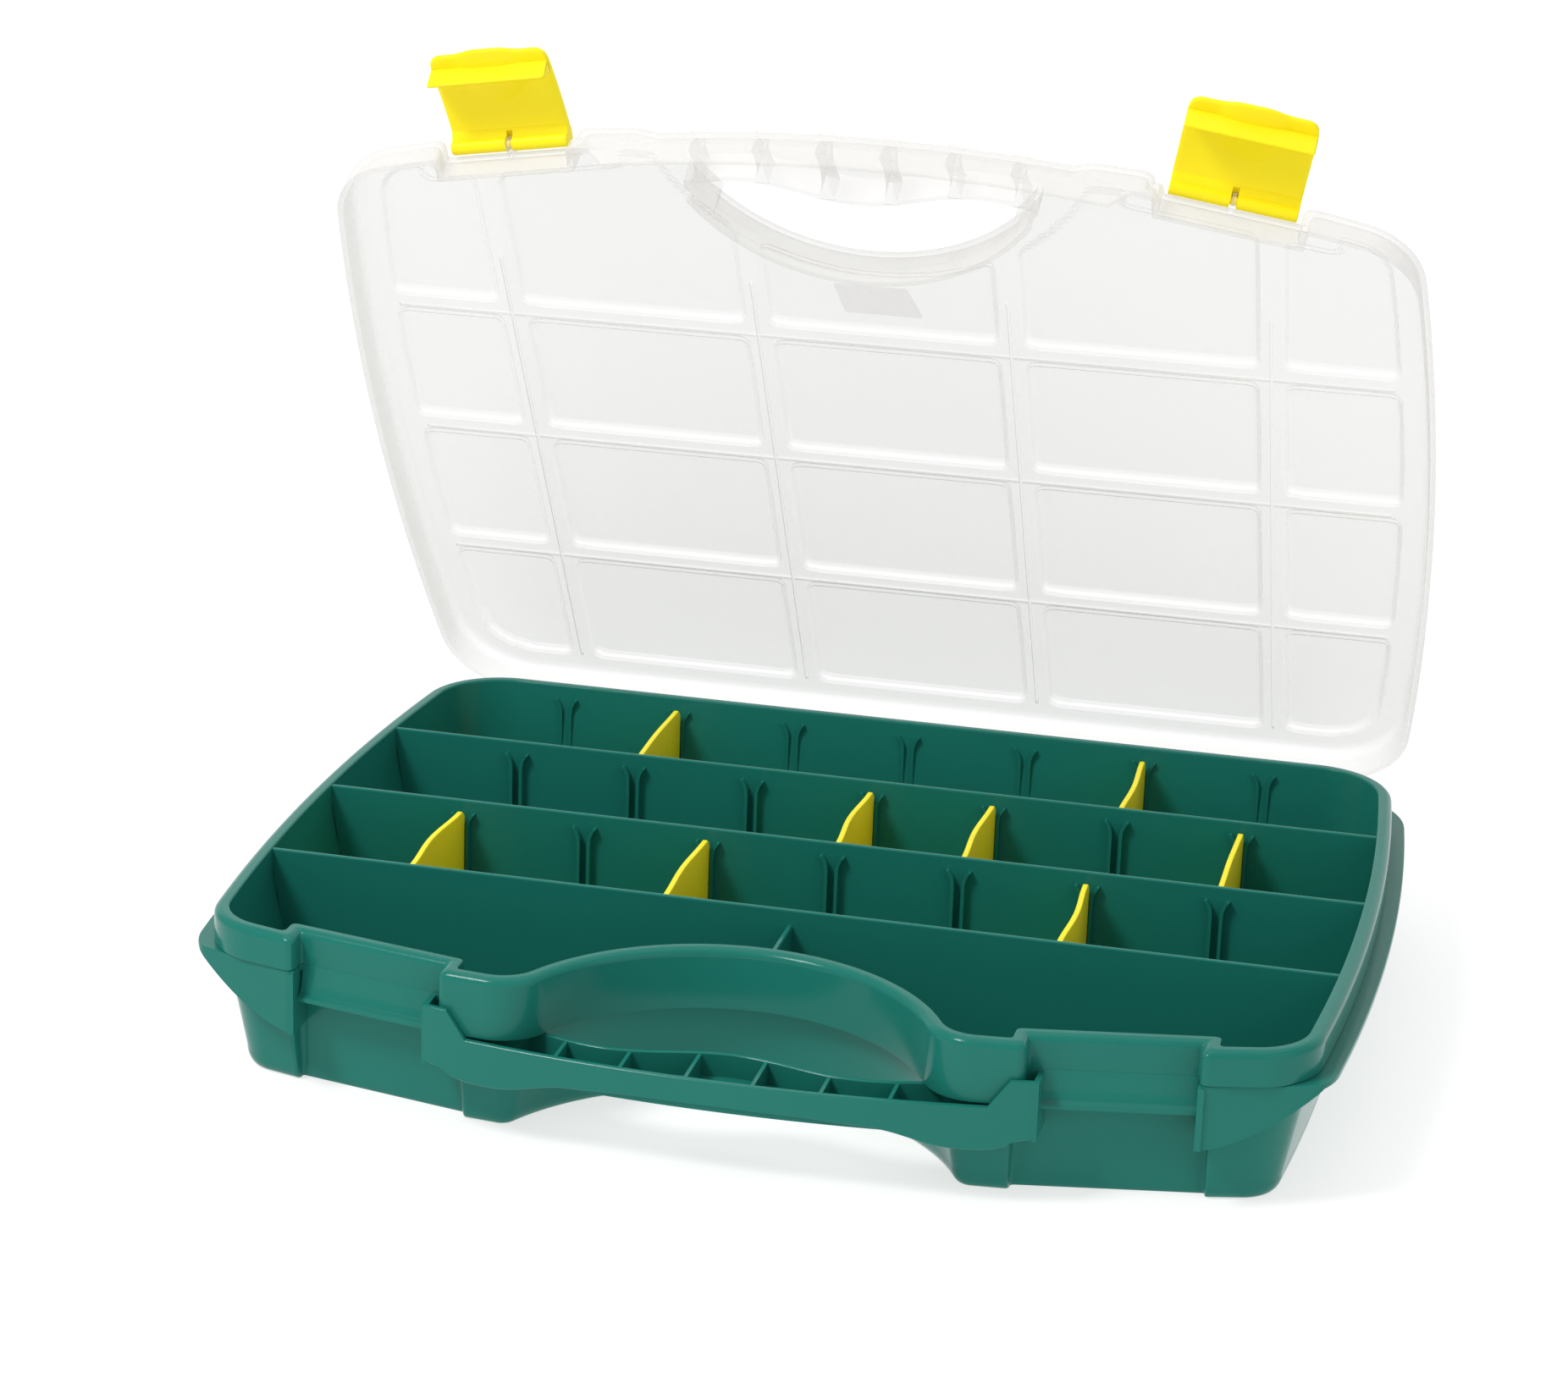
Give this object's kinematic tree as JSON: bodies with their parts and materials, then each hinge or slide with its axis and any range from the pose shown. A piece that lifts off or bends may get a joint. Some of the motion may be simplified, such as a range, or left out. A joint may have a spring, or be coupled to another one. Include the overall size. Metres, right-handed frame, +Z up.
{
  "type": "compartment organiser case",
  "caption": "Shallow moulded case with a carrying handle, slotted rows with removable dividers, and a hinged translucent lid closed by snap latches.",
  "frame": {"origin": "centre of the tray's flat underside", "axes": "+Z up from the underside, +Y towards the hinges, +X to the right seen from the handle"},
  "size_m": [0.3774, 0.311, 0.3164],
  "materials": {
    "green_plastic": "moulded polypropylene, glossy",
    "clear_plastic": "milky translucent polypropylene, glossy",
    "yellow_plastic": "moulded polypropylene, satin gloss",
    "label_film": "blank printed film"
  },
  "bodies": {
    "tray": {"tray_shell": "green_plastic", "long_wall_1": "green_plastic", "long_wall_2": "green_plastic", "long_wall_3": "green_plastic", "short_partition": "green_plastic", "tray_handle": "green_plastic", "hinge_pin_left": "green_plastic", "hinge_pin_centre": "green_plastic", "hinge_pin_right": "green_plastic"},
    "lid": {"lid_shell": "clear_plastic", "lid_handle": "clear_plastic", "lid_label": "label_film"},
    "latch_left": {"latch_left": "yellow_plastic"},
    "latch_right": {"latch_right": "yellow_plastic"},
    "divider_1_2": {"divider_1_2": "yellow_plastic"},
    "divider_1_6": {"divider_1_6": "yellow_plastic"},
    "divider_2_4": {"divider_2_4": "yellow_plastic"},
    "divider_2_5": {"divider_2_5": "yellow_plastic"},
    "divider_2_7": {"divider_2_7": "yellow_plastic"},
    "divider_3_1": {"divider_3_1": "yellow_plastic"},
    "divider_3_3": {"divider_3_3": "yellow_plastic"},
    "divider_3_6": {"divider_3_6": "yellow_plastic"}
  },
  "joints": [
    {"name": "lid_hinge", "type": "hinge", "parent": "tray", "child": "lid", "pos_m": [0, 0.1475, 0.0353], "axis": [1, 0, 0], "range_deg": [-51.7, 58.3]},
    {"name": "left_latch_pivot", "type": "hinge", "parent": "lid", "child": "latch_left", "pos_m": [-0.1188, 0.02011, 0.28096], "axis": [0.9806, -0.1031, 0.1669], "range_deg": [-10, 100]},
    {"name": "right_latch_pivot", "type": "hinge", "parent": "lid", "child": "latch_right", "pos_m": [0.1188, 0.02011, 0.28096], "axis": [0.9806, 0.1031, -0.1669], "range_deg": [-10, 100]},
    {"name": "divider_1_2_slide", "type": "slide", "parent": "tray", "child": "divider_1_2", "axis": [0, 0, -1], "range_m": [-0.044, 0]},
    {"name": "divider_1_6_slide", "type": "slide", "parent": "tray", "child": "divider_1_6", "axis": [0, 0, -1], "range_m": [-0.044, 0]},
    {"name": "divider_2_4_slide", "type": "slide", "parent": "tray", "child": "divider_2_4", "axis": [0, 0, -1], "range_m": [-0.044, 0]},
    {"name": "divider_2_5_slide", "type": "slide", "parent": "tray", "child": "divider_2_5", "axis": [0, 0, -1], "range_m": [-0.044, 0]},
    {"name": "divider_2_7_slide", "type": "slide", "parent": "tray", "child": "divider_2_7", "axis": [0, 0, -1], "range_m": [-0.044, 0]},
    {"name": "divider_3_1_slide", "type": "slide", "parent": "tray", "child": "divider_3_1", "axis": [0, 0, -1], "range_m": [-0.044, 0]},
    {"name": "divider_3_3_slide", "type": "slide", "parent": "tray", "child": "divider_3_3", "axis": [0, 0, -1], "range_m": [-0.044, 0]},
    {"name": "divider_3_6_slide", "type": "slide", "parent": "tray", "child": "divider_3_6", "axis": [0, 0, -1], "range_m": [-0.044, 0]}
  ]
}
